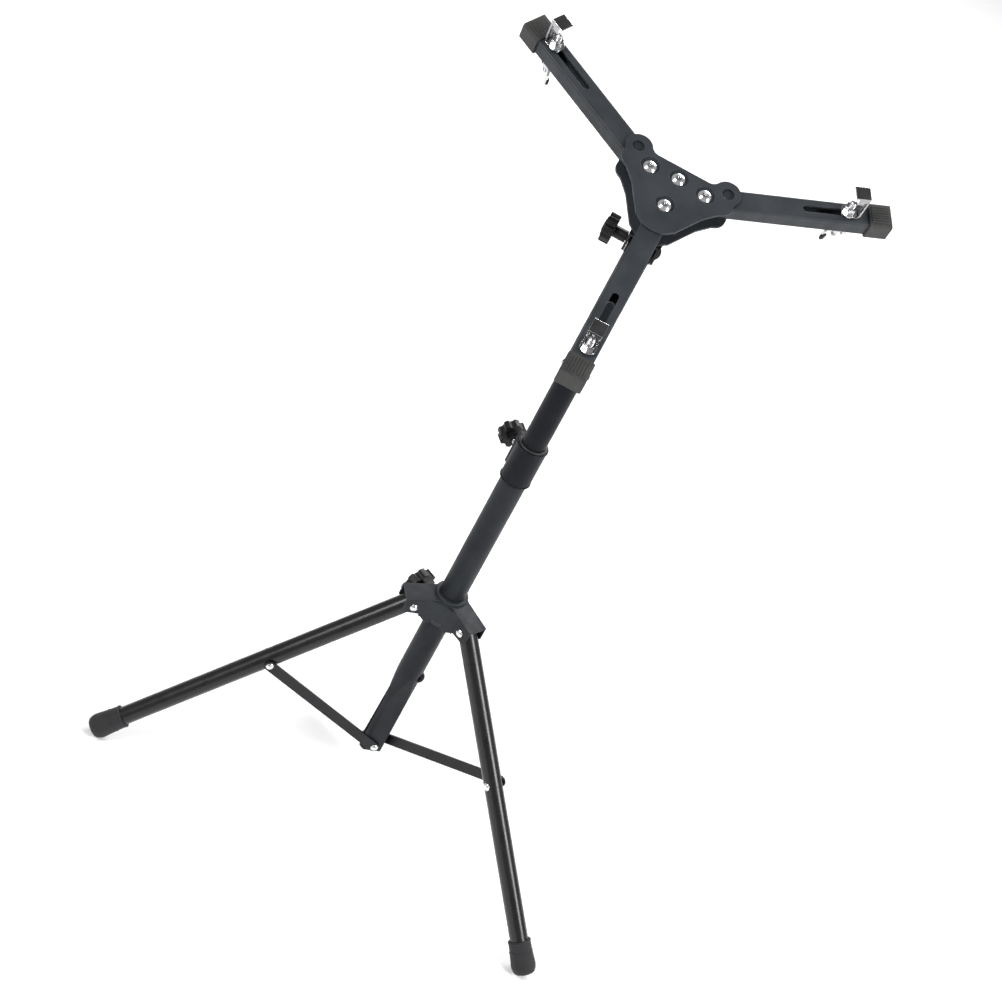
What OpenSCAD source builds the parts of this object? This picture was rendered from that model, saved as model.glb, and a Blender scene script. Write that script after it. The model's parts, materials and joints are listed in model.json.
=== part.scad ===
// Folding three-arm stand: a tripod base, a telescoping mast and a tilting
// head whose three slotted arms carry adjustable hooks.
// Z is up, the floor is z = 0, and the head leans towards -Y.

/* [Masts] */
// Outside diameter of the outer mast tube
outer_mast_d = 28; // [27:0.5:30]
// Outside diameter of the sliding inner mast tube
inner_mast_d = 25.4; // [24:0.1:25.4]
// Height of the lower end of the outer mast
outer_mast_bottom = 40; // [38:0.5:42]
// Height of the upper end of the outer mast
outer_mast_top = 497.5; // [480:0.5:520]
// Height of the lower end of the inner mast at rest
inner_mast_bottom = 338; // [330:1:345]
// Height of the tilt pivot at the top of the inner mast
tilt_pivot_z = 756; // [700:0.1:780]

/* [Tripod] */
// Outside diameter of each leg tube
leg_d = 20; // [19:0.5:20]
// Distance of the leg pivots from the mast axis
leg_pivot_r = 38; // [37:0.5:40]
// Height of the leg pivots
leg_pivot_z = 269; // [266:0.5:272]
// Length of a leg from its pivot to the end of its rubber foot
leg_len = 376; // [360:1:380]
// Angle of the legs from vertical
leg_tilt = 45.6; // [44:0.1:46]
// Distance along a leg from its pivot to the brace rivet
brace_on_leg = 167; // [160:1:170]
// Height of the brace pivots at the foot of the mast
brace_pivot_z = 48; // [47:0.5:50]
// Width of the flat brace strips
brace_w = 12; // [9:0.5:13]

/* [Head] */
// Lean of the head from horizontal
head_tilt = 24.5; // [15:0.5:30]
// Turn of the head on the mast
head_turn = 1.5; // [0:0.1:3]
// Width of the arm tubes
arm_w = 22; // [20:0.5:22]
// Height of the arm tubes
arm_h = 17; // [16:0.5:18]
// Angle between the left arm and the cross line of the head
left_arm_angle = 28.6; // [25:0.1:30]
// Angle between the right arm and the cross line of the head
right_arm_angle = 27; // [25:0.1:30]
// Distance of the side arm pivots from the centre line
arm_pivot_x = 28.3; // [28.3:0.1:30]
// Length of a side arm from its pivot to the end of its cap
side_arm_len = 181.8; // [175:0.1:190]
// Length of the bottom arm from the head centre to the end of its cap
bottom_arm_len = 226.6; // [215:0.1:230]
// Thickness of the two head plates
plate_t = 2.5; // [2:0.1:3]
// Width of the slots in the arms
slot_w = 7; // [6.6:0.1:8]

/* [Knobs and hooks] */
// Radius of the hub knob
hub_knob_r = 19.4; // [16:0.2:20]
// Radius of the height knob and the tilt knob
small_knob_r = 14.4; // [12:0.2:15]
// Radius of the hook bolts
bolt_r = 3; // [2.5:0.1:3]
// Width of the hook plates
hook_w = 13.6; // [10:0.2:14]
// Height of the hooks above the arms
hook_h = 33; // [30:0.5:36]

/* [Hidden] */
$fn = 48;

// The origin is on the floor in the middle of the whole stand, so the mast stands behind or before it
mast_y = -59.7;
// Running clearance of a shaft in its bore, and clearance of pieces fixed together
run_fit = 0.05;
fixed_fit = 0.02;
// Overlap that keeps cutting shapes clear of the faces they cut
over = 1;

outer_mast_r = outer_mast_d / 2;
outer_mast_wall = 1;
inner_mast_r = inner_mast_d / 2;
inner_mast_wall = 1.2;

// Azimuths of the three legs: left, right and back
LEFT = 210;
RIGHT = -30;
BACK = 90;
leg_r = leg_d / 2;
leg_wall = 1.5;
leg_top = 4;
foot_socket = 370;
foot_start = 339;
leg_rivet_r = 2.5;
brace_t = 2.5;
// Each brace runs beside its leg at this distance from the leg's own plane
brace_gap = leg_r + 0.5;
// The foot of the mast is pressed to three flats that the braces lie against
mast_flat = brace_gap - 0.3;
mast_flat_top = 124;
mast_flat_run = 45;
brace_rise = leg_pivot_z - brace_on_leg * cos(leg_tilt) - brace_pivot_z;
brace_reach = leg_pivot_r + brace_on_leg * sin(leg_tilt);
brace_len = sqrt(brace_rise * brace_rise + brace_reach * brace_reach);
brace_angle = atan2(brace_rise, brace_reach);

// Hub
hub_bottom = leg_pivot_z - 19;
hub_top = leg_pivot_z + 19.5;
hub_core_r = 20;
hub_collar_r = 18.3;
housing_half = 12;
cheek_t = 1.6;
channel_r = 26.5;
// The fillets between the housings are round a line this far from the mast axis
web_reach = 60;
web_top = hub_top - 6;
web_bottom = hub_bottom + 8.5;
housing_end = 50;
housing_end_z = leg_pivot_z + 11.3;
housing_root_z = leg_pivot_z + 17.5;
roof_t = 2.2;
hub_knob_azimuth = 150;
hub_knob_z = leg_pivot_z - 12;

// Height clamp
sleeve_bottom = 456.7;
sleeve_top = 503;
sleeve_r = 16.1;
height_knob_azimuth = 125;
height_knob_z = 478;
screw_r = 3;

// Head: its frame has x to the right, y up the slope and z out of the arms' top faces
// The tilt pivot in the head's frame
tilt_dy = -35.5;
tilt_dz = -45;
bracket_t = 2.5;
bracket_in = 13.5;
block_half = bracket_in - 0.2;
block_r = 12.6;
block_base = tilt_pivot_z - block_r - 0.1;
bracket_out = bracket_in + bracket_t;
bracket_base = -arm_h - plate_t;
arm_wall = 1.5;
arm_pivot_y = 12.75;
head_rivet_r = 3;
top_rivet_y = 15.3;
low_rivet_y = -18.3;
rivet_places = [[-arm_pivot_x, arm_pivot_y], [arm_pivot_x, arm_pivot_y], [0, top_rivet_y], [0, low_rivet_y]];
// Each rivet of the front plate sits in a round dish
dish_r = 9.2;
dish_floor = 0.8;
// A side arm is a little lower than the gap between the plates, so that it can turn
side_play = 0.2;
side_arm_back = 9;
cap_len = 21.5;
cap_wall = 2;
// Hook bolts and slots: distance from the arm's pivot, or from the head centre on the bottom arm
left_bolt_at = 148;
right_bolt_at = 139;
bottom_bolt_at = 194;
side_slot = [95.2, 153];
bottom_slot = [127.4, 198];
hook_t = 1.5;
// The hook's upright stands this far from its bolt, and its foot tab lies under the flange nut
hook_reach = 9.7;
tab_low = 0.2;
tab_high = 2.3;
lip_end = -4.6;
bolt_top = 18;
washer_t = 1.2;
wing_reach = 13.8;
wing_drop = 40;
left_wing_turn = 145;
right_wing_turn = -166;

module at_mast() {
    translate([0, mast_y, 0]) children();
}

// A leg's own upright plane: x outwards from the mast, y to the side that carries the brace
module leg_plane(azimuth) {
    at_mast() rotate([0, 0, azimuth]) children();
}

// Along a leg: z runs down the leg from its pivot
module along_leg(azimuth) {
    leg_plane(azimuth) translate([leg_pivot_r, 0, leg_pivot_z]) rotate([0, 180 - leg_tilt, 0]) children();
}

// Along a brace: x runs out from its pivot at the mast
module along_brace(azimuth) {
    leg_plane(azimuth) translate([0, 0, brace_pivot_z]) rotate([0, -brace_angle, 0]) children();
}

module in_head() {
    at_mast() translate([0, 0, tilt_pivot_z]) rotate([head_tilt, 0, head_turn])
        translate([0, -tilt_dy, -tilt_dz]) children();
}

// Along a side arm: x runs out from its pivot; side is -1 on the left and 1 on the right
module along_side_arm(side) {
    in_head() translate([side * arm_pivot_x, arm_pivot_y, 0])
        rotate([0, 0, side > 0 ? right_arm_angle : 180 - left_arm_angle]) children();
}

// Along the bottom arm: x runs out from the head centre
module along_bottom_arm() {
    in_head() rotate([0, 0, -90]) children();
}

// A cylinder along y from y0 to y1
module rod_y(r, y0, y1) {
    translate([0, y0, 0]) rotate([-90, 0, 0]) cylinder(r = r, h = y1 - y0);
}

// A cylinder along x from x0 to x1
module rod_x(r, x0, x1) {
    translate([x0, 0, 0]) rotate([0, 90, 0]) cylinder(r = r, h = x1 - x0);
}

// A shallow dome standing on z = 0
module dome(r, h) {
    ball = (r * r + h * h) / (2 * h);
    intersection() {
        translate([0, 0, h - ball]) sphere(r = ball, $fn = 64);
        cylinder(r = r, h = h);
    }
}

module tube(r, wall, z0, z1) {
    difference() {
        translate([0, 0, z0]) cylinder(r = r, h = z1 - z0);
        translate([0, 0, z0 - over]) cylinder(r = r - wall, h = z1 - z0 + 2 * over);
    }
}

module round_rect(w, h, r) {
    square([w - 2 * r, h], center = true);
    square([w, h - 2 * r], center = true);
    for (x = [-1, 1], y = [-1, 1]) translate([x * (w / 2 - r), y * (h / 2 - r)]) circle(r = r);
}

// A bar along x with a rounded rectangular section, top face at z = 0
module bar_x(w, h, r, x0, x1) {
    translate([x0, 0, -h / 2]) rotate([0, 90, 0]) linear_extrude(x1 - x0) round_rect(h, w, r);
}

// Eight-lobed knob on the z axis: a neck from z = 0 and then the grip
module star_knob(r, neck_r, neck_h, grip_h, hole_r, hole_h) {
    difference() {
        union() {
            cylinder(r = neck_r, h = neck_h + over);
            translate([0, 0, neck_h]) cylinder(r = r, h = grip_h);
            translate([0, 0, neck_h + grip_h]) dome(r * 0.55, 1.4);
        }
        for (i = [0:7]) rotate([0, 0, 22.5 + 45 * i])
            translate([r * 1.1, 0, neck_h - over]) cylinder(r = r * 0.26, h = grip_h + 2 * over, $fn = 32);
        translate([0, 0, -over]) cylinder(r = hole_r, h = hole_h + over);
    }
}

// ---- Masts ----

// The region outside the pressed flats at the foot of the mast, set back by inset
module beyond_flats(inset) {
    flat = mast_flat - inset;
    for (azimuth = [LEFT, RIGHT, BACK]) rotate([0, 0, azimuth])
        translate([-outer_mast_d, 0, 0]) rotate([90, 0, 90]) linear_extrude(2 * outer_mast_d)
            polygon([[flat, outer_mast_bottom - 2], [flat, mast_flat_top],
                [flat + 4.4, mast_flat_top + mast_flat_run], [flat + 12, mast_flat_top + mast_flat_run],
                [flat + 12, outer_mast_bottom - 2]]);
}

module outer_mast() {
    inner_r = outer_mast_r - outer_mast_wall;
    color([0.1, 0.11, 0.14]) difference() {
        at_mast() difference() {
            difference() {
                translate([0, 0, outer_mast_bottom]) cylinder(r = outer_mast_r, h = outer_mast_top - outer_mast_bottom);
                beyond_flats(0);
            }
            difference() {
                translate([0, 0, outer_mast_bottom - over])
                    cylinder(r = inner_r, h = outer_mast_top - outer_mast_bottom + 2 * over);
                beyond_flats(1.2);
            }
            rotate([0, 0, height_knob_azimuth]) translate([0, 0, height_knob_z]) rod_x(screw_r + 0.4, 5, 20);
            translate([0, 0, stop_z]) rod_x(stop_r + fixed_fit, 5, 20);
        }
        for (azimuth = [LEFT, RIGHT, BACK]) along_brace(azimuth) rod_y(leg_rivet_r + fixed_fit, 5, 20);
    }
}

module mast_rivets() {
    color("silver") for (azimuth = [LEFT, RIGHT, BACK]) along_brace(azimuth) {
        rod_y(leg_rivet_r, mast_flat - 1.5, brace_gap + brace_t + 0.4);
        rod_y(3.8, mast_flat - 2.6, mast_flat - 1.25);
        translate([0, brace_gap + brace_t + 0.15, 0]) rotate([-90, 0, 0]) dome(4.5, 2.4);
    }
}

stop_z = 162.7;
stop_r = 2.5;
module stop_screw() {
    color([0.08, 0.08, 0.09]) at_mast() translate([0, 0, stop_z]) {
        rod_x(stop_r, outer_mast_r - 3.5, outer_mast_r + 0.5);
        translate([outer_mast_r + 0.02, 0, 0]) rotate([0, 90, 0]) dome(6.4, 4);
    }
}

module height_sleeve() {
    color([0.14, 0.15, 0.17]) at_mast() difference() {
        union() {
            translate([0, 0, sleeve_bottom]) cylinder(r = sleeve_r, h = sleeve_top - sleeve_bottom);
            rotate([0, 0, height_knob_azimuth]) translate([0, -8, sleeve_bottom + 5])
                cube([21, 16, sleeve_top - sleeve_bottom - 6]);
        }
        translate([0, 0, sleeve_bottom - over])
            cylinder(r = outer_mast_r + fixed_fit, h = outer_mast_top - sleeve_bottom + over + 0.1);
        translate([0, 0, sleeve_bottom]) cylinder(r = inner_mast_r + run_fit, h = 100);
        rotate([0, 0, height_knob_azimuth]) translate([0, 0, height_knob_z]) rod_x(screw_r + run_fit, 5, 30);
    }
}

module height_screw() {
    color("silver") at_mast() rotate([0, 0, height_knob_azimuth]) translate([0, 0, height_knob_z])
        rod_x(screw_r, inner_mast_r + 0.4, 43);
}

module height_knob() {
    color([0.06, 0.06, 0.07]) at_mast() rotate([0, 0, height_knob_azimuth]) translate([33.5, 0, height_knob_z])
        rotate([0, 90, 0]) star_knob(small_knob_r, 6, 5.5, 10, screw_r + fixed_fit, 9.6);
}

module inner_mast() {
    color([0.11, 0.12, 0.15]) at_mast() tube(inner_mast_r, inner_mast_wall, inner_mast_bottom, block_base);
}

module inner_bush() {
    skirt_r = outer_mast_r - outer_mast_wall - run_fit;
    plug_r = inner_mast_r - inner_mast_wall - fixed_fit;
    color([0.3, 0.3, 0.3]) at_mast() difference() {
        union() {
            translate([0, 0, inner_mast_bottom - 8]) cylinder(r = skirt_r, h = 8 - fixed_fit);
            translate([0, 0, inner_mast_bottom - 4]) cylinder(r = plug_r, h = 18);
        }
        translate([0, 0, inner_mast_bottom - 10]) cylinder(r = 9, h = 40);
    }
}

// Round head of the inner mast that the tilt bracket straddles, with a spigot in the tube
module tilt_block() {
    color([0.1, 0.1, 0.11]) at_mast() rotate([0, 0, head_turn]) difference() {
        union() {
            translate([0, 0, block_base - 22]) cylinder(r = inner_mast_r - inner_mast_wall - fixed_fit, h = 24);
            translate([0, 0, block_base + 0.02]) cylinder(r = inner_mast_r - 0.1, h = tilt_pivot_z - block_base);
            translate([0, 0, tilt_pivot_z]) rod_x(block_r, -block_half, block_half);
        }
        translate([0, 0, tilt_pivot_z]) rod_x(bolt_r + run_fit, -20, 20);
    }
}

// ---- Tripod ----

module hub() {
    core = [[0, hub_bottom], [15.8, hub_bottom], [hub_core_r, hub_bottom + 8], [hub_core_r, hub_top - 9],
        [hub_collar_r, hub_top - 4.5], [hub_collar_r, hub_top - 0.9], [hub_collar_r - 0.9, hub_top], [0, hub_top]];
    channel_half = housing_half - cheek_t;
    color([0.23, 0.25, 0.27]) difference() {
        union() {
            at_mast() rotate_extrude() polygon(core);
            for (azimuth = [LEFT, RIGHT, BACK]) leg_plane(azimuth)
                translate([0, housing_half, 0]) rotate([90, 0, 0]) linear_extrude(2 * housing_half) housing();
            for (azimuth = [LEFT, RIGHT, BACK]) leg_plane(azimuth + 60) hub_web();
            at_mast() rotate([0, 0, hub_knob_azimuth]) translate([0, 0, hub_knob_z]) rod_x(6.8, 12, 29);
        }
        at_mast() cylinder(r = outer_mast_r + run_fit, h = 2 * leg_pivot_z);
        at_mast() rotate([0, 0, hub_knob_azimuth]) translate([0, 0, hub_knob_z]) rod_x(screw_r + run_fit, 5, 40);
        for (azimuth = [LEFT, RIGHT, BACK]) leg_plane(azimuth) {
            translate([0, channel_half, 0]) rotate([90, 0, 0]) linear_extrude(2 * channel_half) leg_channel();
            translate([leg_pivot_r, 0, leg_pivot_z]) rod_y(leg_rivet_r + fixed_fit, -20, 20);
        }
    }
}

// Hollow fillet between two leg housings
module hub_web() {
    fillet_r = web_reach * sin(60) - housing_half;
    touch = [web_reach / 2 * cos(60) + housing_half * sin(60), web_reach / 2 * sin(60) - housing_half * cos(60)];
    translate([0, 0, web_bottom]) difference() {
        linear_extrude(web_top - web_bottom) polygon([[0, 0], touch, [touch[0], -touch[1]]]);
        translate([web_reach, 0, -over]) cylinder(r = fillet_r, h = 60);
    }
}

// Outline of a leg housing, in the plane of the leg
module housing() {
    polygon([[10, hub_bottom + 1.5], [20, hub_bottom + 1.5], [31, leg_pivot_z - 7.4],
        [housing_end - 3, leg_pivot_z - 7.4], [housing_end, leg_pivot_z - 4.6], [housing_end, housing_end_z],
        [10, housing_root_z]]);
}

// The space inside it where the leg swings
module leg_channel() {
    slope = (housing_root_z - housing_end_z) / (housing_end - 10);
    polygon([[channel_r, hub_bottom - over], [channel_r, housing_root_z - slope * (channel_r - 10) - roof_t],
        [housing_end + over, housing_end_z - slope * over - roof_t], [housing_end + over, hub_bottom - over]]);
}

module hub_rivets() {
    reach = housing_half + 0.05;
    color("silver") for (azimuth = [LEFT, RIGHT, BACK]) leg_plane(azimuth)
        translate([leg_pivot_r, 0, leg_pivot_z]) {
            rod_y(leg_rivet_r, -reach - 0.3, reach + 0.3);
            translate([0, reach, 0]) rotate([-90, 0, 0]) dome(4.7, 2.5);
            translate([0, -reach, 0]) rotate([90, 0, 0]) dome(4.7, 2.5);
        }
}

module hub_screw() {
    color("silver") at_mast() rotate([0, 0, hub_knob_azimuth]) translate([0, 0, hub_knob_z])
        rod_x(screw_r, outer_mast_r + 0.4, 41);
}

module hub_knob() {
    color([0.06, 0.06, 0.07]) at_mast() rotate([0, 0, hub_knob_azimuth]) translate([31, 0, hub_knob_z])
        rotate([0, 90, 0]) star_knob(hub_knob_r, 8, 6, 11, screw_r + fixed_fit, 10.6);
}

module leg(azimuth) {
    color([0.05, 0.05, 0.06]) difference() {
        along_leg(azimuth) tube(leg_r, leg_wall, -leg_top, foot_socket);
        along_leg(azimuth) rod_y(leg_rivet_r + run_fit, -20, 20);
        along_leg(azimuth) translate([0, 0, brace_on_leg]) rod_y(leg_rivet_r + fixed_fit, -20, 20);
    }
}
module leg_left() { leg(LEFT); }
module leg_right() { leg(RIGHT); }
module leg_back() { leg(BACK); }

// A flared rubber boot, worn flat where it meets the floor
module foot(azimuth) {
    boot = [[leg_r + fixed_fit, foot_start], [11.6, foot_start], [12, foot_start + 0.6], [12.3, foot_start + 12],
        [13, foot_start + 22], [13.4, foot_start + 27], [13.3, foot_start + 29.5], [12.4, leg_len - 4],
        [11.3, leg_len - 1.6], [10, leg_len - 0.4], [8.5, leg_len], [0, leg_len], [0, foot_socket + 0.2],
        [leg_r + fixed_fit, foot_socket + 0.2]];
    color([0.2, 0.2, 0.21]) difference() {
        along_leg(azimuth) rotate_extrude() polygon(boot);
        translate([-500, -500, -50]) cube([1000, 1000, 50]);
    }
}
module foot_left() { foot(LEFT); }
module foot_right() { foot(RIGHT); }
module foot_back() { foot(BACK); }

// Inner half of the leg-to-brace rivet, fixed in the leg
module leg_rivet(azimuth) {
    color("silver") along_leg(azimuth) translate([0, 0, brace_on_leg]) {
        rod_y(leg_rivet_r, -leg_r - 0.5, leg_r + 0.1);
        translate([0, -leg_r - 0.05, 0]) rotate([90, 0, 0]) dome(4.4, 2.2);
    }
}
module leg_rivet_left() { leg_rivet(LEFT); }
module leg_rivet_right() { leg_rivet(RIGHT); }
module leg_rivet_back() { leg_rivet(BACK); }

module brace(azimuth) {
    color([0.05, 0.05, 0.06]) along_brace(azimuth) difference() {
        union() {
            translate([0, brace_gap, -brace_w / 2]) cube([brace_len, brace_t, brace_w]);
            rod_y(brace_w / 2, brace_gap, brace_gap + brace_t);
            translate([brace_len, 0, 0]) rod_y(brace_w / 2, brace_gap, brace_gap + brace_t);
        }
        rod_y(leg_rivet_r + run_fit, 0, 30);
        translate([brace_len, 0, 0]) rod_y(leg_rivet_r + fixed_fit, 0, 30);
    }
}
module brace_left() { brace(LEFT); }
module brace_right() { brace(RIGHT); }
module brace_back() { brace(BACK); }

// Outer half of the leg-to-brace rivet, fixed in the brace
module brace_rivet(azimuth) {
    color("silver") along_brace(azimuth) translate([brace_len, 0, 0]) {
        rod_y(leg_rivet_r, brace_gap, brace_gap + brace_t + 0.3);
        translate([0, brace_gap + brace_t + 0.05, 0]) rotate([-90, 0, 0]) dome(4.4, 2.3);
    }
}
module brace_rivet_left() { brace_rivet(LEFT); }
module brace_rivet_right() { brace_rivet(RIGHT); }
module brace_rivet_back() { brace_rivet(BACK); }

// ---- Head ----

module tilt_bracket() {
    base_low = tilt_dy - 14;
    base_high = 22;
    color([0.12, 0.12, 0.14]) in_head() difference() {
        union() {
            translate([-bracket_out, base_low, bracket_base - bracket_t])
                cube([2 * bracket_out, base_high - base_low, bracket_t]);
            for (side = [-1, 1]) translate([side * (bracket_in + bracket_t / 2) - bracket_t / 2, 0, 0])
                rotate([90, 0, 90]) linear_extrude(bracket_t) ear_outline(base_low);
        }
        translate([0, tilt_dy, tilt_dz]) rod_x(bolt_r + fixed_fit, -30, 30);
        plate_rivet_holes(head_rivet_r + fixed_fit);
    }
}

module ear_outline(low) {
    r = 12;
    polygon([[low, bracket_base - 1], [low + 30, bracket_base - 1], [tilt_dy + r, tilt_dz], [tilt_dy - r, tilt_dz]]);
    translate([tilt_dy, tilt_dz]) circle(r = r);
}

module tilt_bolt() {
    color([0.1, 0.1, 0.11]) in_head() translate([0, tilt_dy, tilt_dz]) {
        rod_x(bolt_r, -35, bracket_out + 0.5);
        translate([bracket_out + 0.05, 0, 0]) rotate([0, 90, 0]) dome(6.2, 2.8);
    }
}

module tilt_knob() {
    color([0.06, 0.06, 0.07]) in_head() translate([-bracket_out - 0.4, tilt_dy, tilt_dz])
        rotate([0, -90, 0]) star_knob(small_knob_r, 5.8, 12.6, 10, bolt_r + run_fit, 19.6);
}

// Outline of the head plates: a low lobe, two ears and curved flanks
module plate_outline() {
    translate([0, -2.8]) offset(r = -9) offset(delta = 9) union() {
        translate([0, -26]) circle(r = 22.3);
        for (side = [-1, 1]) {
            translate([side * 45.7, 29.2]) circle(r = 13.2);
            translate([side * 44, 15]) circle(r = 12.5);
        }
        polygon([[-34, 30.2], [34, 30.2], [50, 24], [52, 8], [36, -10.5], [20, -38], [-20, -38],
            [-36, -10.5], [-52, 8], [-50, 24]]);
    }
}

module plate_rivet_holes(r) {
    for (place = rivet_places) translate([place[0], place[1], -60]) cylinder(r = r, h = 120);
}

module front_plate() {
    color([0.26, 0.28, 0.3]) in_head() difference() {
        linear_extrude(plate_t) plate_outline();
        plate_rivet_holes(head_rivet_r + fixed_fit);
        for (place = rivet_places) translate([place[0], place[1], dish_floor]) cylinder(r = dish_r, h = plate_t);
        for (side = [-1, 1]) translate([side * 46.5, 26, -over]) cylinder(r = 6, h = plate_t + 2 * over);
    }
}

module back_plate() {
    color([0.1, 0.11, 0.13]) in_head() difference() {
        translate([0, 0, -arm_h - plate_t]) linear_extrude(plate_t) plate_outline();
        plate_rivet_holes(head_rivet_r + fixed_fit);
    }
}

module head_rivets() {
    top = dish_floor;
    color("silver") in_head() for (place = rivet_places) translate([place[0], place[1], 0])
        head_rivet(top, place[0] == 0 ? bracket_base - bracket_t : bracket_base);
}

module head_rivet(top, bottom) {
    translate([0, 0, bottom - 0.4]) cylinder(r = head_rivet_r, h = top - bottom + 0.8);
    difference() {
        translate([0, 0, top]) dome(7.25, 3.4);
        translate([0, 0, top + 2.6]) cylinder(r = 1.3, h = 2);
    }
    translate([0, 0, bottom]) mirror([0, 0, 1]) dome(5, 2);
}

// An arm tube along x with its slot cut through both faces and its rivet holes
module arm_tube(h, x0, x1, slot, holes, hole_r) {
    difference() {
        bar_x(arm_w, h, 2, x0, x1);
        translate([0, 0, -arm_wall]) bar_x(arm_w - 2 * arm_wall, h - 2 * arm_wall, 0.8, x0 - over, x1 + over);
        translate([slot[0] + slot_w / 2, -slot_w / 2, -h - over])
            cube([slot[1] - slot[0] - slot_w, slot_w, h + 2 * over]);
        for (x = [slot[0] + slot_w / 2, slot[1] - slot_w / 2]) translate([x, 0, -h - over])
            cylinder(r = slot_w / 2, h = h + 2 * over);
        for (x = holes) translate([x, 0, -h - over]) cylinder(r = hole_r, h = h + 2 * over);
    }
}

module bottom_arm() {
    color([0.26, 0.28, 0.31]) along_bottom_arm()
        arm_tube(arm_h, -26, bottom_arm_len - 3.1, bottom_slot, [-top_rivet_y, -low_rivet_y],
            head_rivet_r + fixed_fit);
}

module side_arm(side) {
    color([0.26, 0.28, 0.31]) along_side_arm(side) translate([0, 0, -side_play])
        arm_tube(arm_h - 2 * side_play, -side_arm_back, side_arm_len - 3.1, side_slot, [0], head_rivet_r + run_fit);
}
module left_arm() { side_arm(-1); }
module right_arm() { side_arm(1); }

// Rubber end cap with ribs along its top and bottom
module end_cap(h, len) {
    rib_w = 1.3;
    outer_h = h + 2 * cap_wall;
    difference() {
        union() {
            translate([0, 0, cap_wall]) bar_x(arm_w + 2 * cap_wall, outer_h, 2.6, len - cap_len, len);
            for (i = [-3:3]) translate([len - cap_len + 2, i * 2.8 - rib_w / 2, -h - cap_wall - 0.6])
                cube([cap_len - 4.5, rib_w, outer_h + 1.2]);
        }
        translate([0, 0, fixed_fit]) bar_x(arm_w + 2 * fixed_fit, h + 2 * fixed_fit, 2, len - cap_len - over, len - 3);
    }
}
module bottom_cap() {
    color([0.22, 0.22, 0.23]) along_bottom_arm() end_cap(arm_h, bottom_arm_len);
}
module side_cap(side) {
    color([0.22, 0.22, 0.23]) along_side_arm(side) translate([0, 0, -side_play])
        end_cap(arm_h - 2 * side_play, side_arm_len);
}
module left_cap() { side_cap(-1); }
module right_cap() { side_cap(1); }

// ---- Hooks ----

// Places a hook part on its arm at its bolt, x pointing outwards along the arm
module at_left_bolt() { along_side_arm(-1) translate([left_bolt_at, 0, 0]) children(); }
module at_right_bolt() { along_side_arm(1) translate([right_bolt_at, 0, 0]) children(); }
module at_bottom_bolt() { along_bottom_arm() translate([bottom_bolt_at, 0, 0]) children(); }

// An angle hook turning on its bolt: foot tab, upright at +x and a lip bent back over the bolt
module hook() {
    color("silver") difference() {
        union() {
            translate([0, 0, tab_low]) cylinder(r = hook_w / 2, h = tab_high - tab_low);
            translate([0, -hook_w / 2, tab_low]) cube([hook_reach, hook_w, tab_high - tab_low]);
            translate([hook_reach - hook_t, -hook_w / 2, tab_low]) cube([hook_t, hook_w, hook_h - tab_low]);
            translate([lip_end, -hook_w / 2, hook_h - hook_t]) cube([hook_reach - lip_end, hook_w, hook_t]);
        }
        translate([0, 0, -over]) cylinder(r = bolt_r + run_fit, h = tab_high + 2 * over);
    }
}
module left_hook() { at_left_bolt() hook(); }
module right_hook() { at_right_bolt() hook(); }
module bottom_hook() { at_bottom_bolt() rotate([0, 0, 180]) hook(); }

module hook_bolt() {
    color("silver") {
        translate([0, 0, -wing_drop + 4]) cylinder(r = bolt_r, h = wing_drop - 4 + bolt_top - 1.2);
        translate([0, 0, bolt_top - 1.21]) dome(bolt_r, 1.2);
    }
}
module left_hook_bolt() { at_left_bolt() hook_bolt(); }
module right_hook_bolt() { at_right_bolt() hook_bolt(); }
module bottom_hook_bolt() { at_bottom_bolt() hook_bolt(); }

// Flange nut that holds the foot tab, and the washer under the arm
module hook_nuts() {
    color("silver") difference() {
        union() {
            translate([0, 0, tab_high + 0.1]) cylinder(r = 7.8, h = 1.6);
            translate([0, 0, tab_high + 1]) cylinder(r = 5.8, h = 7, $fn = 6);
            translate([0, 0, -arm_h - 0.3 - washer_t]) cylinder(r = 7, h = washer_t);
        }
        translate([0, 0, -arm_h - 3]) cylinder(r = bolt_r + fixed_fit, h = 60);
    }
}
module left_hook_nuts() { at_left_bolt() hook_nuts(); }
module right_hook_nuts() { at_right_bolt() hook_nuts(); }
module bottom_hook_nuts() { at_bottom_bolt() hook_nuts(); }

// Wing nut under the arm, its wings along x
module wing_nut() {
    top = -arm_h - 0.3 - washer_t - 0.1;
    color("silver") difference() {
        union() {
            translate([0, 0, top - 10]) cylinder(r1 = 5, r2 = 6.4, h = 10);
            for (side = [0, 180]) rotate([90, 0, side]) translate([0, 0, -1.2]) linear_extrude(2.4)
                polygon([[3.6, top - 1], [6.8, top - 1.2], [11.8, top - 10.5], [wing_reach, -wing_drop + 3.8],
                    [wing_reach - 0.4, -wing_drop + 1.2], [wing_reach - 2, -wing_drop],
                    [wing_reach - 4.2, -wing_drop + 0.8], [8.2, top - 13.4], [3.6, top - 8.6]]);
        }
        translate([0, 0, top - 20]) cylinder(r = bolt_r + run_fit, h = 40);
    }
}
module left_wing_nut() { at_left_bolt() rotate([0, 0, left_wing_turn]) wing_nut(); }
module right_wing_nut() { at_right_bolt() rotate([0, 0, right_wing_turn]) wing_nut(); }
module bottom_wing_nut() { at_bottom_bolt() rotate([0, 0, 90]) wing_nut(); }

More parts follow.
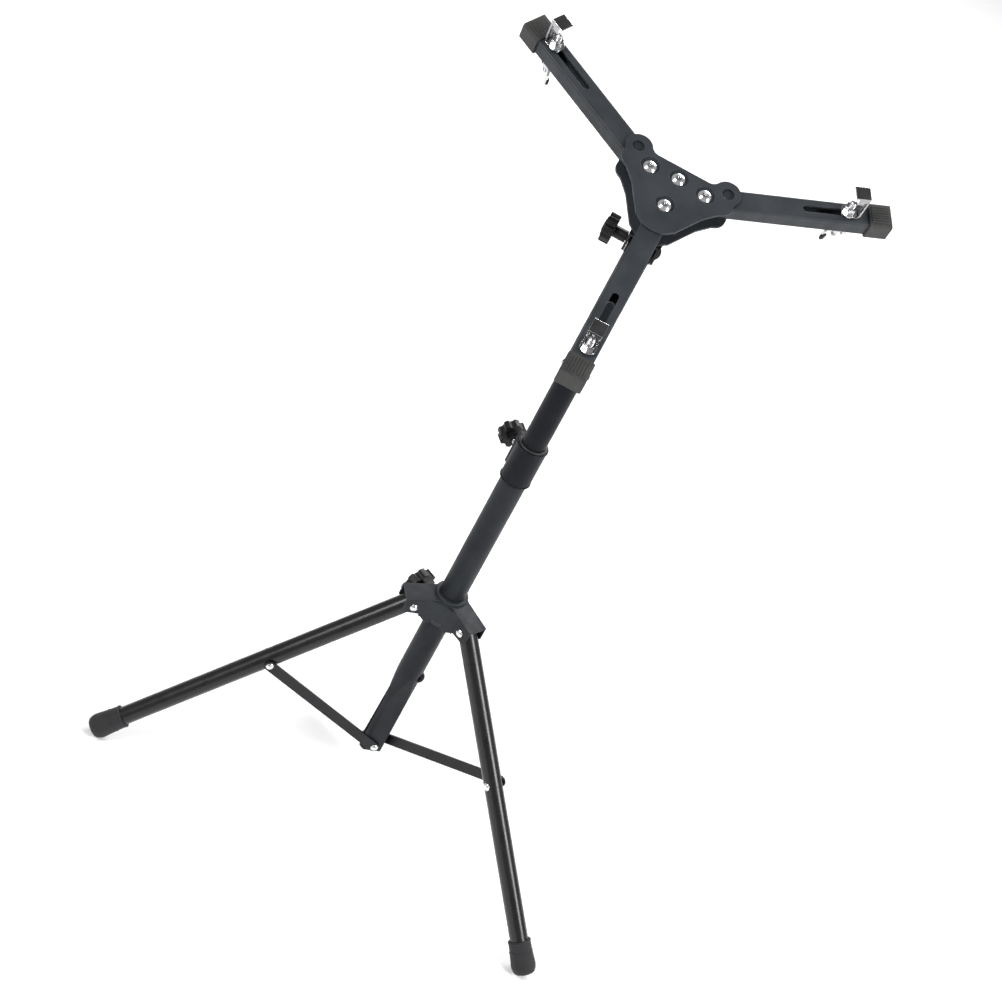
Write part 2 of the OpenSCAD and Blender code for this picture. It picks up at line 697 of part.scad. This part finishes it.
outer_mast();
mast_rivets();
stop_screw();
height_sleeve();
height_screw();
height_knob();
inner_mast();
inner_bush();
tilt_block();
hub();
hub_rivets();
hub_screw();
hub_knob();
leg_left();
leg_right();
leg_back();
foot_left();
foot_right();
foot_back();
leg_rivet_left();
leg_rivet_right();
leg_rivet_back();
brace_left();
brace_right();
brace_back();
brace_rivet_left();
brace_rivet_right();
brace_rivet_back();
tilt_bracket();
tilt_bolt();
tilt_knob();
front_plate();
back_plate();
head_rivets();
bottom_arm();
left_arm();
right_arm();
bottom_cap();
left_cap();
right_cap();
bottom_hook();
left_hook();
right_hook();
bottom_hook_bolt();
left_hook_bolt();
right_hook_bolt();
bottom_hook_nuts();
left_hook_nuts();
right_hook_nuts();
bottom_wing_nut();
left_wing_nut();
right_wing_nut();
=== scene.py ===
import json
import math

import bmesh
import bpy
from mathutils import Matrix, Vector


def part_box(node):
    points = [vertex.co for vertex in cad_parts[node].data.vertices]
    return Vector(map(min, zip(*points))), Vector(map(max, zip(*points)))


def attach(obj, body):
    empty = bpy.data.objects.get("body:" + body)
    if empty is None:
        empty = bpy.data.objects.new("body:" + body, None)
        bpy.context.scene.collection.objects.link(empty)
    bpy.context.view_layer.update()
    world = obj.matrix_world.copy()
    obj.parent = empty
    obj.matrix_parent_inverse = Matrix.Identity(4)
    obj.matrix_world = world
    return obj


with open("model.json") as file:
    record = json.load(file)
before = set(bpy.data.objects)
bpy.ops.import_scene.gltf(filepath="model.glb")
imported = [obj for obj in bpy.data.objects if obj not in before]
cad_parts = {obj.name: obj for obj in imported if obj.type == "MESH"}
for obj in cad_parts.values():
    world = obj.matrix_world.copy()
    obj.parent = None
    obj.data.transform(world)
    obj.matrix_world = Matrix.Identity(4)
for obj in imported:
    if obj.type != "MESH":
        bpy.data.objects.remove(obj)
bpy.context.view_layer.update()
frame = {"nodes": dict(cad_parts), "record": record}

MM = 0.001
SCREW_R = 2.95 * MM
UP = Vector((0, 0, 1))
ARMS = ("left", "right", "bottom")
LEGS = ("left", "right", "back")
NODES = frame["nodes"]
JOINTS = {j["name"]: j for j in frame["record"]["behaviour"]["joints"]}

# ---- places, from the CAD nodes themselves ----


def middle(node):
    low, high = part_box(node)
    return (Vector(low) + Vector(high)) / 2


def joint_frame(name):
    """Position and unit axis of a joint."""
    joint = JOINTS[name]
    return Vector(joint["pos_m"]), Vector(joint["axis"]).normalized()


MAST_Y = middle("outer_mast").y


# ---- materials ----


class Nodes:
    """A small helper that builds one node material."""

    def __init__(self, name):
        self.material = bpy.data.materials.new(name)
        self.material.use_nodes = True
        self.tree = self.material.node_tree
        self.tree.nodes.clear()
        self.shader = self.add("ShaderNodeBsdfPrincipled")
        output = self.add("ShaderNodeOutputMaterial")
        self.link(self.shader.outputs["BSDF"], output.inputs["Surface"])
        self.coords = self.add("ShaderNodeTexCoord").outputs["Object"]

    def add(self, kind, **values):
        """A new node, with each value put on its property or else on its input of that name."""
        node = self.tree.nodes.new(kind)
        for key, value in values.items():
            if hasattr(node, key):
                setattr(node, key, value)
            else:
                node.inputs[key].default_value = value
        return node

    def link(self, source, target):
        self.tree.links.new(source, target)

    def noise(self, scale, detail, stretch=(1, 1, 1)):
        mapping = self.add("ShaderNodeMapping", Scale=stretch)
        self.link(self.coords, mapping.inputs["Vector"])
        node = self.add("ShaderNodeTexNoise", Scale=scale, Detail=detail)
        self.link(mapping.outputs["Vector"], node.inputs["Vector"])
        return node.outputs["Fac"]

    def speckle(self, scale):
        node = self.add("ShaderNodeTexVoronoi", Scale=scale)
        self.link(self.coords, node.inputs["Vector"])
        return node.outputs["Distance"]

    def ramp(self, factor, low, high, start=0.3, end=0.7):
        """A colour or a grey value that runs from low to high as factor runs from start to end."""
        node = self.add("ShaderNodeValToRGB")
        for element, position, value in zip(node.color_ramp.elements, (start, end), (low, high)):
            element.position = position
            rgb = value if isinstance(value, tuple) else (value, value, value)
            element.color = (*rgb, 1)
        self.link(factor, node.inputs["Fac"])
        return node.outputs["Color"]

    def edge(self, radius):
        """The rounded normal of a sharp corner."""
        return self.add("ShaderNodeBevel", samples=6, Radius=radius).outputs["Normal"]

    def wear_and_edge_highlight(self, colour, rounded, rub_and_highlight_colour, amount):
        """The colour, lightened towards a paler edge colour where the rounded normal leaves the face's own:
        partly wear along the edges, partly a painted highlight on them.
        """
        face = self.add("ShaderNodeNewGeometry").outputs["Normal"]
        turn = self.add("ShaderNodeVectorMath", operation="DOT_PRODUCT")
        self.link(face, turn.inputs[0])
        self.link(rounded, turn.inputs[1])
        # Mask of the edges that get the lighter colour: partly wear, partly a painted highlight
        mask = self.ramp(turn.outputs["Value"], amount, 0.0, 0.90, 0.995)
        # A Mix node's colours are its inputs 6 and 7 and its output 2
        node = self.add("ShaderNodeMix", data_type="RGBA")
        self.link(mask, node.inputs[0])
        self.link(colour, node.inputs[6])
        node.inputs[7].default_value = (*rub_and_highlight_colour, 1)
        return node.outputs[2]

    def bump(self, height, strength, distance, normal):
        node = self.add("ShaderNodeBump", Strength=strength, Distance=distance)
        self.link(height, node.inputs["Height"])
        self.link(normal, node.inputs["Normal"])
        return node.outputs["Normal"]

    def set(self, **values):
        """Puts each value or each link on the shader's input of that name."""
        for key, value in values.items():
            socket = self.shader.inputs[key.replace("_", " ")]
            if isinstance(value, bpy.types.NodeSocket):
                self.link(value, socket)
            else:
                socket.default_value = value
        return self.material


def paint(name, dark, light, rough, grain, bump, shine, coat=0.0):
    """Powder coat or paint: uneven colour and gloss, an orange-peel grain, softened edges, and lighter edges
    that are partly wear and partly a painted edge highlight.
    """
    m = Nodes(name)
    cloud = m.noise(28, 4)
    peel = m.noise(grain, 2)
    smudge = m.noise(90, 5, (1, 1, 0.3))
    rounded = m.edge(0.6 * MM)
    # Edge colour three times the light paint: partly wear, partly a painted highlight along the edges
    edge_rub_and_highlight = [3.0 * value + 0.01 for value in light]
    colour = m.ramp(cloud, dark, light, 0.35, 0.65)
    m.set(Base_Color=m.wear_and_edge_highlight(colour, rounded, edge_rub_and_highlight, 0.55),
          Roughness=m.ramp(smudge, *rough, 0.35, 0.68),
          Normal=m.bump(peel, bump, 0.2 * MM, rounded))
    return m.set(Coat_Weight=coat, Coat_Roughness=0.12, Specular_IOR_Level=shine)


def rubber(name, dark, light):
    """Moulded rubber: matt, finely grained, with random paler, dusty patches; on the caps their pale end is
    partly a painted sheen.
    """
    m = Nodes(name)
    dust_and_sheen = m.noise(55, 6)
    fine = m.noise(1400, 2)
    # Random paler patches: dirt, and on the caps partly a painted sheen
    m.set(Base_Color=m.ramp(dust_and_sheen, dark, light, 0.3, 0.75),
          Roughness=m.ramp(dust_and_sheen, 0.62, 0.86),
          Normal=m.bump(fine, 0.25, 0.2 * MM, m.edge(0.7 * MM)))
    return m.set(Sheen_Weight=0.05, Sheen_Roughness=0.6, Specular_IOR_Level=0.3)


def plastic(name, dark, light):
    """Moulded black plastic with a spark-eroded grain."""
    m = Nodes(name)
    grain = m.speckle(1500)
    cloud = m.noise(70, 4)
    m.set(Base_Color=m.ramp(cloud, dark, light),
          Roughness=m.ramp(cloud, 0.34, 0.5),
          Normal=m.bump(grain, 0.5, 0.15 * MM, m.edge(0.9 * MM)))
    return m.set(Specular_IOR_Level=0.3)


def chrome(name, dark, light, rough, scratch, edge=0.35 * MM, stretch=(1, 1, 1)):
    """Bright plating with fine scratches, a faint haze and brighter edges, which are partly wear and partly a
    painted edge highlight.
    """
    m = Nodes(name)
    haze = m.noise(120, 5)
    lines = m.noise(900, 2, stretch)
    rounded = m.edge(edge)
    colour = m.ramp(haze, dark, light)
    # Edges lightened towards 0.9 grey: partly wear, partly a painted highlight
    return m.set(Metallic=1.0,
                 Base_Color=m.wear_and_edge_highlight(colour, rounded, (0.9, 0.9, 0.9), 0.9),
                 Roughness=m.ramp(haze, *rough),
                 Normal=m.bump(lines, scratch, 0.1 * MM, rounded))


# Each slot's maker and its values, in the order of the maker's own list
LOOKS = {
    "mast_paint": (paint, (0.011, 0.013, 0.016), (0.017, 0.019, 0.023), (0.40, 0.52), 1500, 0.12, 0.14),
    "inner_paint": (paint, (0.004, 0.005, 0.007), (0.007, 0.008, 0.011), (0.36, 0.48), 1500, 0.1, 0.1),
    "sleeve_paint": (paint, (0.004, 0.005, 0.007), (0.008, 0.009, 0.012), (0.38, 0.5), 1300, 0.2, 0.12),
    "block_paint": (paint, (0.004, 0.004, 0.005), (0.008, 0.008, 0.009), (0.38, 0.5), 1300, 0.2, 0.15),
    "hub_paint": (paint, (0.014, 0.016, 0.019), (0.022, 0.025, 0.029), (0.46, 0.62), 1200, 0.35, 0.2),
    "leg_paint": (paint, (0.002, 0.002, 0.003), (0.004, 0.004, 0.005), (0.24, 0.34), 1500, 0.05, 0.45, 0.06),
    "brace_paint": (paint, (0.004, 0.004, 0.005), (0.007, 0.007, 0.009), (0.28, 0.4), 1400, 0.1, 0.25),
    "plate_paint": (paint, (0.018, 0.021, 0.025), (0.027, 0.031, 0.037), (0.48, 0.62), 1300, 0.35, 0.25),
    "arm_paint": (paint, (0.019, 0.022, 0.026), (0.029, 0.033, 0.038), (0.44, 0.58), 1300, 0.35, 0.25),
    "bush": (plastic, (0.02, 0.02, 0.02), (0.04, 0.04, 0.04)),
    "knob_plastic": (plastic, (0.003, 0.003, 0.004), (0.007, 0.007, 0.008)),
    "foot_rubber": (rubber, (0.011, 0.011, 0.012), (0.021, 0.021, 0.023)),
    # Paler, warm grey of the caps: partly the rubber's own colour, partly a painted sheen for the light their
    # tops reflect
    "cap_rubber": (rubber, (0.022, 0.022, 0.022), (0.050, 0.049, 0.047)),
    "bright_rivet": (chrome, (0.66, 0.66, 0.67), (0.84, 0.84, 0.84), (0.10, 0.2), 0.12),
    "screw_steel": (chrome, (0.42, 0.42, 0.44), (0.62, 0.62, 0.63), (0.2, 0.34), 0.3),
    "hook_chrome": (chrome, (0.26, 0.26, 0.27), (0.38, 0.38, 0.39), (0.10, 0.2), 0.12, 0.4 * MM, (1, 1, 5)),
    "nut_chrome": (chrome, (0.50, 0.50, 0.51), (0.70, 0.70, 0.71), (0.12, 0.22), 0.15),
}
MATERIALS = {slot: make(slot, *values) for slot, (make, *values) in LOOKS.items()}
SLOT_OF = {s["node"]: s["material_slot"] for s in frame["record"]["subparts"]}
for node_name, obj in NODES.items():
    for material_slot in obj.material_slots:
        material_slot.material = MATERIALS[SLOT_OF[node_name]]


# ---- detail pieces ----


def piece(name, bm, body, slot):
    """Makes an object of the skin built in bm, which then rides body."""
    bmesh.ops.recalc_face_normals(bm, faces=bm.faces)
    mesh = bpy.data.meshes.new(name)
    bm.to_mesh(mesh)
    bm.free()
    obj = bpy.data.objects.new(name, mesh)
    bpy.context.scene.collection.objects.link(obj)
    mesh.materials.append(MATERIALS[slot])
    for polygon in mesh.polygons:
        polygon.use_smooth = True
    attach(obj, body)


def frame_on(origin, axis):
    """A frame at origin whose z runs along axis."""
    return Matrix.Translation(origin) @ axis.to_track_quat("Z", "Y").to_matrix().to_4x4()


def around(radius, angle, height):
    """A point at radius and angle round the z axis."""
    return Vector((radius * math.cos(angle), radius * math.sin(angle), height))


def lathe(name, body, slot, origin, axis, profile, steps):
    """A surface of revolution about axis; profile lists (radius, height), closed or from axis to axis."""
    bm = bmesh.new()
    place = frame_on(origin, axis)
    rings = []
    for radius, height in profile:
        count = steps if radius > 0 else 1
        rings.append([bm.verts.new(place @ around(radius, 2 * math.pi * i / steps, height))
                      for i in range(count)])
    for one, other in zip(rings, rings[1:]):
        for i in range(steps):
            k = (i + 1) % steps
            corners = [one[i % len(one)], one[k % len(one)], other[k % len(other)], other[i % len(other)]]
            corners = list(dict.fromkeys(corners))
            if len(corners) > 2:
                bm.faces.new(corners)
    piece(name, bm, body, slot)


def thread(name, body, origin, axis, start, end, pitch=1.0 * MM):
    """A helical ridge round a screw, from start to end along axis, that fades out over a turn at each end."""
    steps = 20
    crest = SCREW_R + 0.42 * MM
    root = SCREW_R - 0.05 * MM
    count = int((end - start - pitch) / pitch * steps)
    place = frame_on(origin, axis)
    bm = bmesh.new()
    rows = []
    for i in range(count + 1):
        angle = 2 * math.pi * i / steps
        height = start + pitch / 2 + pitch * i / steps
        fade = min(1.0, i / steps, (count - i) / steps)
        top = SCREW_R + (crest - SCREW_R) * fade
        section = ((root, -0.42), (top, -0.08), (top, 0.08), (root, 0.42))
        rows.append([bm.verts.new(place @ around(radius, angle, height + rise * pitch))
                     for radius, rise in section])
    for one, other in zip(rows, rows[1:]):
        for k in range(3):
            bm.faces.new([one[k], other[k], other[k + 1], one[k + 1]])
        bm.faces.new([one[3], other[3], other[0], one[0]])
    bm.faces.new(rows[0])
    bm.faces.new(rows[-1])
    piece(name, bm, body, "screw_steel")


def loft(name, body, slot, origin, axis, across, sections):
    """A closed skin through flattened ovals, each (shift along across, height, half width, half depth)."""
    steps = 20
    squareness = 0.7
    axis = axis.normalized()
    across = (across - axis * across.dot(axis)).normalized()
    depth = axis.cross(across)
    bm = bmesh.new()
    rings = []
    for shift, height, half_width, half_depth in sections:
        centre = origin + axis * height
        ring = []
        for i in range(steps):
            angle = 2 * math.pi * i / steps
            c, s = math.cos(angle), math.sin(angle)
            c = math.copysign(abs(c) ** squareness, c)
            s = math.copysign(abs(s) ** squareness, s)
            ring.append(bm.verts.new(centre + across * (shift + half_width * c) + depth * (half_depth * s)))
        rings.append(ring)
    for one, other in zip(rings, rings[1:]):
        for i in range(steps):
            k = (i + 1) % steps
            bm.faces.new([one[i], one[k], other[k], other[i]])
    bm.faces.new(rings[0])
    bm.faces.new(rings[-1])
    piece(name, bm, body, slot)


def bead(radius, height, size):
    """Lathe profile of a small rounded ring round a tube, closed on the tube's inside."""
    count = 8
    inside = radius - 0.2 * MM
    points = [(inside, height - size)]
    for i in range(count + 1):
        angle = math.pi * i / count
        points.append((radius + size * 0.8 * math.sin(angle), height - size * math.cos(angle)))
    points.append((inside, height + size))
    return points + points[:1]


# Threads that show above and below each arm, as ranges along the hook bolt from its joint's place, in mm
BOLT_THREADS = (("_bolt_thread_top", 9.5, 16.6), ("_bolt_thread_low", -35.6, -28.9))
# Dark tip of a wing: distance out, height, half width and half depth of each oval
WING_TIP = [(out * MM, height * MM, width * MM, depth * MM) for out, height, width, depth in (
    (10.8, -33.4, 2.45, 1.45), (10.9, -33.9, 2.75, 1.75), (11.5, -36.5, 2.75, 1.85),
    (11.8, -39.2, 2.5, 1.75), (11.8, -40.4, 1.8, 1.2), (11.8, -40.8, 0.8, 0.5))]
for arm in ARMS:
    at, up = joint_frame(arm + "_hook_swivel")
    for end_name, low, high in BOLT_THREADS:
        thread(arm + end_name, arm + "_clamp", at, up, low * MM, high * MM)
    # The wings reach furthest from the bolt, so the furthest vertex tells which way they point
    sideways = [v.co - at - up * (v.co - at).dot(up) for v in NODES[arm + "_wing_nut"].data.vertices]
    spread = max(sideways, key=lambda d: d.length)
    for side, sign in (("a", 1), ("b", -1)):
        loft(arm + "_wing_tip_" + side, arm + "_wing_nut", "knob_plastic", at, up, spread * sign, WING_TIP)

# Threads of the height and hub screws between boss and knob, in mm out from the mast's middle
for knob, boss_face, knob_face in (("height_knob", 21.3, 33.3), ("hub_knob", 29.2, 30.9)):
    at, out = joint_frame(knob + "_turn")
    thread(knob + "_thread", knob, Vector((0, MAST_Y, at.z)), out, boss_face * MM, knob_face * MM, 1.1 * MM)

# Rims of the clamp sleeve, and the plastic liner that guides the inner mast
SLEEVE_R = 16.1 * MM
RIM = 0.9 * MM
# Radius and height over the sleeve's top of each corner of the liner, in mm
LINER = ((12.75, -1), (12.75, 1.4), (13.6, 1.7), (14.9, 1.0), (15.1, 0), (13.5, -0.2), (12.75, -1))
low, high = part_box("height_sleeve")
sleeve_low, sleeve_high = low[2], high[2]
mast_foot = Vector((0, MAST_Y, 0))
for name, height in (("sleeve_rim_low", sleeve_low + RIM), ("sleeve_rim_top", sleeve_high - RIM)):
    lathe(name, "mast", "sleeve_paint", mast_foot, UP, bead(SLEEVE_R, height, RIM), 64)
lathe("sleeve_liner", "mast", "bush", mast_foot, UP,
      [(radius * MM, sleeve_high + height * MM) for radius, height in LINER], 64)

# Bead round the mouth of each rubber boot, and a ring moulded into its tip
LEG_TILT = math.radians(45.6)
# Radius, distance from the leg's hinge and bead size, in mm
BOOT_RINGS = (("_boot_mouth", 11.7, 340.2, 1.1), ("_boot_ring", 12.25, 351.5, 0.7))
for leg in LEGS:
    at, axle = joint_frame(leg + "_leg_hinge")
    along = axle.cross(UP) * math.sin(LEG_TILT) - UP * math.cos(LEG_TILT)
    for ring_name, radius, distance, size in BOOT_RINGS:
        lathe(leg + ring_name, leg + "_leg", "foot_rubber", at, along,
              bead(radius * MM, distance * MM, size * MM), 56)

# Moulded disc on the outer face of each knob: share of the disc's radius, and height over that face in mm
DISC = ((0, -2.2), (0.66, -2.2), (0.66, -0.9), (0.62, -0.5), (0.5, -0.5), (0.46, -0.9), (0.42, -0.1),
        (0.2, 0.25), (0, 0.3))
for knob, radius in (("height_knob", 14.4), ("hub_knob", 19.4), ("tilt_knob", 14.4)):
    at, out = joint_frame(knob + "_turn")
    face = max((v.co - at).dot(out) for v in NODES[knob].data.vertices)
    lathe(knob + "_disc", knob, "knob_plastic", at, out,
          [(radius * MM * share, face + height * MM) for share, height in DISC], 48)

# ---- floor, light and camera ----

FLOOR_HALF = 30
PALE_GREY = (0.93, 0.93, 0.93, 1)
UNDER_FEET = -0.2 * MM
bm = bmesh.new()
bmesh.ops.create_grid(bm, x_segments=1, y_segments=1, size=FLOOR_HALF)
floor_mesh = bpy.data.meshes.new("floor")
bm.to_mesh(floor_mesh)
bm.free()
floor = bpy.data.objects.new("floor", floor_mesh)
floor.location.z = UNDER_FEET
bpy.context.scene.collection.objects.link(floor)
floor_mesh.materials.append(Nodes("floor_pale").set(Base_Color=PALE_GREY, Roughness=0.9))

# Grey walls and a dark ceiling right overhead, so that flat bright metal has something to mirror
WALL, CEILING = (0.80, 0.45), (0.93, 0.14)
world = bpy.data.worlds.new("studio")
bpy.context.scene.world = world
world.use_nodes = True
sky = world.node_tree.nodes
direction = sky.new("ShaderNodeTexCoord").outputs["Generated"]
height = sky.new("ShaderNodeSeparateXYZ")
ceiling = sky.new("ShaderNodeValToRGB")
for element, (position, grey) in zip(ceiling.color_ramp.elements, (WALL, CEILING)):
    element.position = position
    element.color = (grey, grey, grey, 1)
world.node_tree.links.new(direction, height.inputs[0])
world.node_tree.links.new(height.outputs["Z"], ceiling.inputs["Fac"])
world.node_tree.links.new(ceiling.outputs["Color"], sky["Background"].inputs["Color"])


def softbox(name, location, aim_height, size, power):
    """An area light of this size in metres and power in watts, turned towards the mast."""
    light = bpy.data.lights.new(name, "AREA")
    light.shape = "RECTANGLE"
    light.size, light.size_y = size
    light.energy = power
    obj = bpy.data.objects.new(name, light)
    obj.location = location
    aim = Vector((0, MAST_Y, aim_height)) - Vector(location)
    obj.rotation_euler = aim.to_track_quat("-Z", "Y").to_euler()
    bpy.context.scene.collection.objects.link(obj)


softbox("key", (-1.6, -1.8, 2.6), 0.5, (0.9, 1.5), 74)
softbox("fill", (2.4, -1.0, 2.0), 0.4, (0.9, 1.6), 76)
softbox("back", (0.4, 2.6, 2.4), 0.5, (2.2, 1.2), 84)

# The camera looks down at the mast's middle and leans over to its side, so the stand lies slantwise
ELEVATION = math.radians(36.5)
AZIMUTH = math.radians(1.2)
LEAN = math.radians(28.65)
DISTANCE = 2.112
AIM_HEIGHT = 0.4236
SIDE_SHIFT = -1.5 * MM
right = Vector((math.cos(AZIMUTH), math.sin(AZIMUTH), 0))
away = Vector((math.sin(AZIMUTH) * math.cos(ELEVATION), -math.cos(AZIMUTH) * math.cos(ELEVATION),
               math.sin(ELEVATION)))
upward = away.cross(right)
image_x = math.cos(LEAN) * right + math.sin(LEAN) * upward
image_y = -math.sin(LEAN) * right + math.cos(LEAN) * upward
camera_data = bpy.data.cameras.new("camera")
camera_data.sensor_width = 36
camera_data.lens = 75.09
camera_data.clip_end = 100
camera = bpy.data.objects.new("camera", camera_data)
bpy.context.scene.collection.objects.link(camera)
place = Matrix((image_x, image_y, away)).transposed().to_4x4()
place.translation = Vector((0, MAST_Y, AIM_HEIGHT)) + DISTANCE * away + SIDE_SHIFT * right
camera.matrix_world = place
bpy.context.scene.camera = camera
# Plain tones, so that the pale floor stays white and the black paint black
bpy.context.scene.view_settings.view_transform = "Standard"
